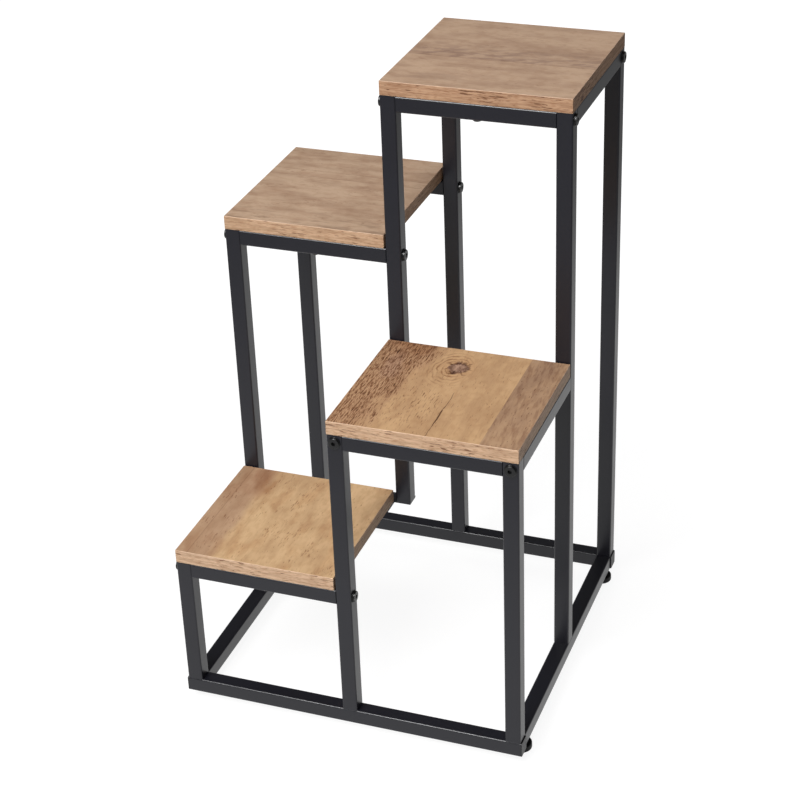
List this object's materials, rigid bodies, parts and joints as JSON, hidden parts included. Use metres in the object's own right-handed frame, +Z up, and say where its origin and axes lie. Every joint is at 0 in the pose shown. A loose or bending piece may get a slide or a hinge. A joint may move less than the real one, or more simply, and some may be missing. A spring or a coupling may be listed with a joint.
{
  "type": "tiered plant stand",
  "caption": "Free-standing plant stand: a square frame of black steel tube with small wood-grain boards at stepped heights and levelling feet.",
  "frame": {"origin": "on the floor, under the middle of the stand's bounding box", "axes": "+Z up; -Y is the front, where the low and the middle shelf stand; +X is the side of the middle and the top shelf"},
  "size_m": [0.457, 0.4532, 0.793],
  "materials": {
    "powder_coat": "satin black powder coat on square steel tube",
    "oak_board": "rustic light brown wood grain, satin",
    "black_hardware": "black plated bolts, washers and screws",
    "black_plastic": "matt black moulded plastic feet and end caps"
  },
  "bodies": {
    "frame": {"back_board": "oak_board", "back_front_bolt_left": "black_hardware", "back_front_bolt_right": "black_hardware", "back_front_rail": "powder_coat", "back_front_screw": "black_hardware", "back_left_rail": "powder_coat", "back_rear_bolt_left": "black_hardware", "back_rear_bolt_right": "black_hardware", "back_rear_rail": "powder_coat", "back_rear_screw": "black_hardware", "base_front_rail": "powder_coat", "base_left_rail": "powder_coat", "base_rear_rail": "powder_coat", "base_right_rail": "powder_coat", "centre_post": "powder_coat", "centre_post_plate": "powder_coat", "front_left_cap": "black_plastic", "front_left_post": "powder_coat", "front_mid_post": "powder_coat", "front_right_cap": "black_plastic", "front_right_post": "powder_coat", "low_board": "oak_board", "low_front_bolt_left": "black_hardware", "low_front_bolt_right": "black_hardware", "low_front_rail": "powder_coat", "low_front_screw": "black_hardware", "low_left_rail": "powder_coat", "low_plate_screw": "black_hardware", "mid_board": "oak_board", "mid_front_rail": "powder_coat", "mid_left_bolt_front": "black_hardware", "mid_left_bolt_rear": "black_hardware", "mid_left_post": "powder_coat", "mid_left_rail": "powder_coat", "mid_left_screw": "black_hardware", "mid_right_bolt_front": "black_hardware", "mid_right_bolt_rear": "black_hardware", "mid_right_post": "powder_coat", "mid_right_rail": "powder_coat", "mid_right_screw": "black_hardware", "rear_left_cap": "black_plastic", "rear_left_post": "powder_coat", "rear_mid_post": "powder_coat", "rear_right_cap": "black_plastic", "rear_right_post": "powder_coat", "top_board": "oak_board", "top_front_bolt_left": "black_hardware", "top_front_bolt_right": "black_hardware", "top_front_rail": "powder_coat", "top_front_screw": "black_hardware", "top_left_rail": "powder_coat", "top_rear_bolt_left": "black_hardware", "top_rear_bolt_right": "black_hardware", "top_rear_rail": "powder_coat", "top_rear_screw": "black_hardware", "top_right_rail": "powder_coat"},
    "front_left_levelling_foot": {"front_left_foot": "black_plastic"},
    "front_right_levelling_foot": {"front_right_foot": "black_plastic"},
    "rear_left_levelling_foot": {"rear_left_foot": "black_plastic"},
    "rear_right_levelling_foot": {"rear_right_foot": "black_plastic"}
  },
  "joints": [
    {"name": "front_left_foot_height", "type": "slide", "parent": "frame", "child": "front_left_levelling_foot", "axis": [0, 0, -1], "range_m": [0, 0.006]},
    {"name": "front_right_foot_height", "type": "slide", "parent": "frame", "child": "front_right_levelling_foot", "axis": [0, 0, -1], "range_m": [0, 0.006]},
    {"name": "rear_left_foot_height", "type": "slide", "parent": "frame", "child": "rear_left_levelling_foot", "axis": [0, 0, -1], "range_m": [0, 0.006]},
    {"name": "rear_right_foot_height", "type": "slide", "parent": "frame", "child": "rear_right_levelling_foot", "axis": [0, 0, -1], "range_m": [0, 0.006]}
  ]
}
